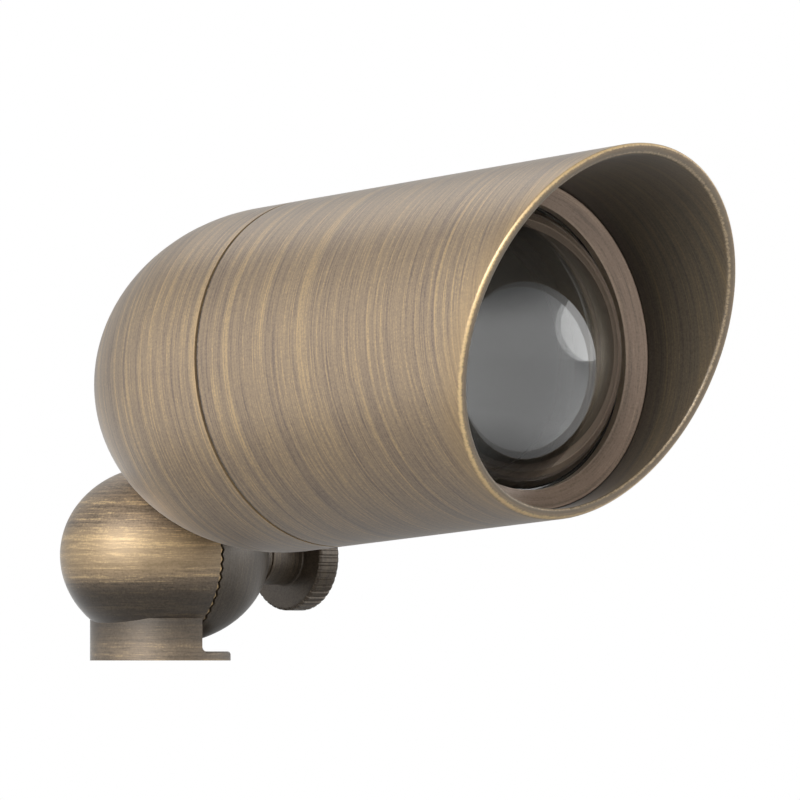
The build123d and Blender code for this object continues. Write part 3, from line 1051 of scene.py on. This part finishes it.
@dataclass(frozen=True)
class Thumbscrew:
    """The knurled knob with its plain hub, and the washers and the stud under it."""

    hub: float = 5.3 * MM
    bore: float = 3.225 * MM
    socket: float = 2.5 * MM
    knob_thickness: float = 5.0 * MM
    rounding: float = 0.7 * MM
    rim_share: float = 0.6
    knurls: int = 44
    sides: int = 8
    depth: float = 0.3 * MM
    sharp: float = 40.0
    washer_rounding: float = 0.25 * MM
    washer_segments: int = 128
    bronze: AntiqueBrass = AntiqueBrass(
        "knob_bronze", dark=colour(74, 64, 52), middle=colour(96, 84, 69), bright=colour(120, 105, 86),
        haze=0.05,
    )

    def build(self) -> None:
        """Builds the knob and the washer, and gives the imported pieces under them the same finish."""
        material = self.bronze.material(HINGE)
        self.build_knob(material)
        self.build_washer(material)
        cover(material, "thumb_stud", "lock_washer")

    def build_knob(self, material: Material) -> None:
        """Turns the knob and its hub, and presses the knurls into the rim.

        Args:
            material: the knob's finish.
        """
        knob = HINGE.measure("thumb_knob")
        outer, start, end = knob.outer, knob.back, knob.front
        face = end - self.knob_thickness
        floor = face + self.socket
        segments = self.knurls * self.sides
        bench = Bench("knurled_knob").turn([
            Corner(POLE_RADIUS, floor), Corner(self.bore, floor), Corner(self.bore, start),
            Corner(self.hub, start, self.rounding / 3), Corner(self.hub, face, self.rounding / 2),
            Corner(outer, face, self.rounding), Corner(outer, end, self.rounding), Corner(POLE_RADIUS, end),
        ], segments, closed=False)
        bench.edit()
        pitch = math.tau / segments
        rim = outer - self.rim_share * self.rounding
        groove = (0, 1, self.sides - 1)

        def valley(at: Vector) -> bool:
            """Whether a point of the rim lies in a knurl's groove."""
            place = round(math.atan2(at.y, at.x) / pitch) % self.sides
            return at.xy.length > rim and place in groove

        bench.pick(valley)
        shrink = (outer - self.depth) / outer
        bpy.ops.transform.resize(value=(shrink, shrink, 1), center_override=(0, 0, 0))
        bench.clear()
        bench.place(HINGE)
        bench.finish("thumbscrew", material, "thumb_knob", sharp=self.sharp)

    def build_washer(self, material: Material) -> None:
        """Turns the washer with its rounded edges.

        Args:
            material: the washer's finish.
        """
        washer, rounding = HINGE.measure("thumb_washer"), self.washer_rounding
        bench = Bench("knuckle_washer").turn([
            Corner(washer.inner, washer.back), Corner(washer.outer, washer.back, rounding),
            Corner(washer.outer, washer.front, rounding), Corner(washer.inner, washer.front, rounding),
        ], self.washer_segments)
        bench.place(HINGE)
        bench.finish("washer", material, "thumb_washer")


@dataclass(frozen=True)
class LampInside:
    """The lamp, its holder, the wires and the seals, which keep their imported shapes."""

    finishes: tuple[tuple[PlainFinish, tuple[str, ...]], ...] = (
        (PlainFinish(
            "bright_steel", colour(176, 176, 172), colour(128, 128, 126),
            metallic=1.0, roughness=0.32, grain=3.0, relief=0.01,
        ), ("socket_bracket", "bracket_screws", "holder_screws")),
        (PlainFinish(
            "bright_brass", colour(206, 172, 112), colour(176, 142, 86),
            metallic=1.0, roughness=0.3, grain=3.0, relief=0.01,
        ), ("holder_contacts", "lamp_pins")),
        (PlainFinish(
            "black_rubber", colour(30, 30, 29), colour(18, 18, 18), roughness=0.62, grain=1.5, relief=0.03
        ), ("knuckle_seal", "housing_o_ring", "lens_gasket", "wire_grommet")),
        (PlainFinish(
            "white_ceramic", colour(216, 210, 196), colour(196, 188, 172), roughness=0.38, grain=1.2
        ), ("lamp_holder",)),
        (PlainFinish(
            "wire_sleeve", colour(36, 36, 35), colour(24, 24, 23), roughness=0.42, grain=1.4
        ), ("lead_wires",)),
        (PlainFinish(
            "lamp_shell", colour(26, 26, 27), colour(14, 14, 15), roughness=0.55, grain=1.0, relief=0.03
        ), ("lamp_body", "lamp_board")),
        (PlainFinish(
            "lamp_optic", colour(16, 16, 17), colour(8, 8, 9), roughness=0.35, grain=1.0, relief=0.01
        ), ("lamp_optic",)),
    )

    def dress(self) -> None:
        """Gives every inner node its finish."""
        for finish, nodes in self.finishes:
            cover(finish.material(), *nodes)


class LampShape(Enum):
    """The shape of a soft lamp's face."""

    RECTANGLE = "RECTANGLE"
    ELLIPSE = "ELLIPSE"


@dataclass(frozen=True)
class SoftLamp:
    """A soft lamp: where it hangs, its width and height, and its power in watts."""

    name: str
    place: tuple[float, float, float]
    size: tuple[float, float]
    power: float
    shape: LampShape = LampShape.RECTANGLE


@dataclass(frozen=True)
class Studio:
    """The pale floor, the soft lamps, the white surround and the camera.

    A ramp gives the two ends of a range and the values there. The surround's ramps run from behind the light
    to the camera's side, or up to overhead, and the floor's from behind the light to just before it.
    """

    azimuth: float = -42.6
    elevation: float = -1.9
    distance: float = 1.457
    target: tuple[float, float, float] = (0.0330, -0.0301, 0.04858)
    focal: float = 351.4
    sensor: float = 36.0
    near_limit: float = 0.01
    mirrored_ramp: Ramp = (-0.7, -0.1, 0.4, 1.0)
    overhead_ramp: Ramp = (0.25, 0.75, 1.0, 0.25)
    fill_ramp: Ramp = (-0.3, 0.7, 0.15, 0.36)
    floor_drop: float = 0.032
    floor_size: float = 3.0
    floor_tone: Colour = (0.42, 0.42, 0.42, 1.0)
    floor_roughness: float = 0.9
    floor_paleness: float = 0.65
    floor_ramp: Ramp = (-0.2, 0.1, 0.6, 0.95)
    fade_start: float = 0.09
    fade_end: float = 0.20
    lit_point: tuple[float, float, float] = (0.0, -0.05, 0.05)
    lamps: tuple[SoftLamp, ...] = (
        SoftLamp("key_softbox", (-1.34, -0.5, 0.52), (1.0, 0.9), 19.5),
        SoftLamp("rear_softbox", (0.22, 0.9, 1.05), (0.7, 0.5), 1.6),
        SoftLamp("upper_softbox", (0.9, -0.2, 1.2), (0.9, 0.9), 1.4),
        SoftLamp("right_softbox", (1.22, -0.75, 0.34), (1.2, 0.7), 2.7, LampShape.ELLIPSE),
    )

    @staticmethod
    def aim(obj: bpy.types.Object, at: Sequence[float]) -> None:
        """Turns an object so that its view falls on a point."""
        obj.rotation_euler = (Vector(at) - obj.location).to_track_quat("-Z", "Y").to_euler()

    def away(self) -> Vector:
        """The direction from the light to the camera."""
        turn, lift = math.radians(self.azimuth), math.radians(self.elevation)
        return Vector((math.sin(turn) * math.cos(lift), -math.cos(turn) * math.cos(lift), math.sin(lift)))

    def camera(self) -> None:
        """Sets the camera where the photograph was taken from."""
        data = bpy.data.cameras.new("photo_view")
        camera = bpy.data.objects.new("photo_view", data)
        bpy.context.scene.collection.objects.link(camera)
        camera.location = Vector(self.target) + self.away() * self.distance
        self.aim(camera, self.target)
        data.lens = self.focal
        data.sensor_width = self.sensor
        data.clip_start = self.near_limit
        bpy.context.scene.camera = camera

    def hang(self, lamp: SoftLamp) -> None:
        """Hangs a soft lamp.

        Args:
            lamp: the lamp.
        """
        data = bpy.data.lights.new(lamp.name, "AREA")
        data.energy = lamp.power
        data.shape = lamp.shape.value
        data.size, data.size_y = lamp.size
        made = bpy.data.objects.new(lamp.name, data)
        bpy.context.scene.collection.objects.link(made)
        made.location = lamp.place
        self.aim(made, self.lit_point)

    @staticmethod
    def rays(canvas: Canvas) -> tuple[Socket, Socket]:
        """Tells the rays apart by which the surround and the floor are seen.

        Args:
            canvas: the canvas of the surround or the floor.

        Returns:
            1 for the camera's own rays, and 1 for those by which the camera, metal and glass see.
        """
        path = canvas.add("ShaderNodeLightPath").outputs
        camera = path["Is Camera Ray"]
        seen = canvas.maths("MAXIMUM", camera, path["Is Glossy Ray"])
        return camera, canvas.maths("MAXIMUM", seen, path["Is Transmission Ray"])

    def world(self) -> None:
        """A white surround for the camera, a dimmer one for metal and glass, and the dimmest as light."""
        world = bpy.data.worlds.new("white_surround")
        bpy.context.scene.world = world
        world.use_nodes = True
        canvas = Canvas(world.node_tree)
        way = canvas.add("ShaderNodeTexCoord").outputs["Generated"]
        height = canvas.add("ShaderNodeSeparateXYZ", {0: way}).outputs[2]
        towards = canvas.towards(way, self.away())
        mirrored = canvas.maths(
            "MULTIPLY", canvas.span(towards, *self.mirrored_ramp), canvas.span(height, *self.overhead_ramp)
        )
        camera, seen = self.rays(canvas)
        shown = canvas.maths("MAXIMUM", mirrored, camera)
        fill = canvas.span(towards, *self.fill_ramp)
        strength = canvas.span(seen, 0.0, 1.0, fill, shown)
        canvas.feed(world.node_tree.nodes["Background"], {"Strength": strength, "Color": WHITE})

    def floor(self) -> None:
        """A pale floor below the lowest pose, which fades to the white surround."""
        Bench.clear()
        bpy.ops.mesh.primitive_plane_add(size=self.floor_size, location=(0, 0, -self.floor_drop))
        floor = bpy.context.object
        floor.name = "pale_floor"
        made, canvas, shader = blank("pale_floor")
        canvas.feed(shader, {"Base Color": self.floor_tone, "Roughness": self.floor_roughness})
        place = canvas.add("ShaderNodeNewGeometry").outputs["Position"]
        mirrored = canvas.span(canvas.towards(place, self.away()), *self.floor_ramp)
        camera, seen = self.rays(canvas)
        shown = canvas.maths("MAXIMUM", mirrored, camera)
        glow = canvas.add("ShaderNodeEmission", {"Color": WHITE, "Strength": shown})
        away = canvas.add("ShaderNodeVectorMath", {0: place}, operation="LENGTH").outputs["Value"]
        pale = canvas.maths("MULTIPLY", camera, self.floor_paleness)
        fade = canvas.maths("MULTIPLY", canvas.span(away, self.fade_start, self.fade_end, pale, 1.0), seen)
        both = canvas.add("ShaderNodeMixShader", {0: fade, 1: shader.outputs[0], 2: glow.outputs[0]})
        canvas.feed(made.node_tree.nodes["Material Output"], {"Surface": both.outputs[0]})
        floor.data.materials.append(made)

    def build(self) -> None:
        """Sets up the whole studio."""
        bpy.context.scene.view_settings.view_transform = "Standard"
        self.camera()
        self.world()
        self.floor()
        for lamp in self.lamps:
            self.hang(lamp)


def main() -> None:
    """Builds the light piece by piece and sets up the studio."""
    logging.basicConfig(level=logging.INFO, format="%(name)s: %(message)s")
    shroud = Shroud()
    shroud.build()
    Housing().dress(shroud)
    LensSet().build()
    Knuckle().dress()
    Thumbscrew().build()
    LampInside().dress()
    Studio().build()


if __name__ == "__main__":
    main()
